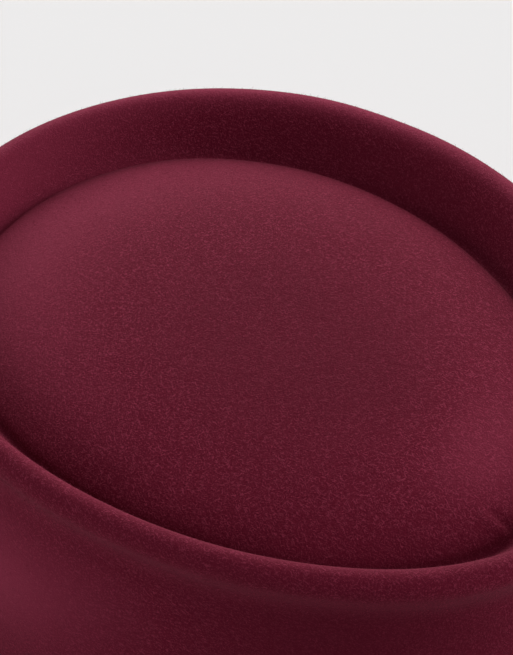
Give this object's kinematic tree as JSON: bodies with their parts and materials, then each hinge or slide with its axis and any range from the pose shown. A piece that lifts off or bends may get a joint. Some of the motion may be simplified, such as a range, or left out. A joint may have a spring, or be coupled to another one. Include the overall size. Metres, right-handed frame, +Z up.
{
  "type": "pillbox hat",
  "caption": "Pillbox hat blocked from one piece of burgundy wool felt, with a rolled rim, a creased top and a low dome, open underneath for the head.",
  "frame": {"origin": "middle of the bottom edge, in its plane", "axes": "+Z up out of the crown, -Y towards the wearer's front, +X towards the wearer's left"},
  "size_m": [0.1686, 0.206, 0.082],
  "materials": {
    "felt": "soft brushed wool felt with a short nap"
  },
  "bodies": {
    "root": {"felt_shell": "felt"}
  },
  "joints": []
}
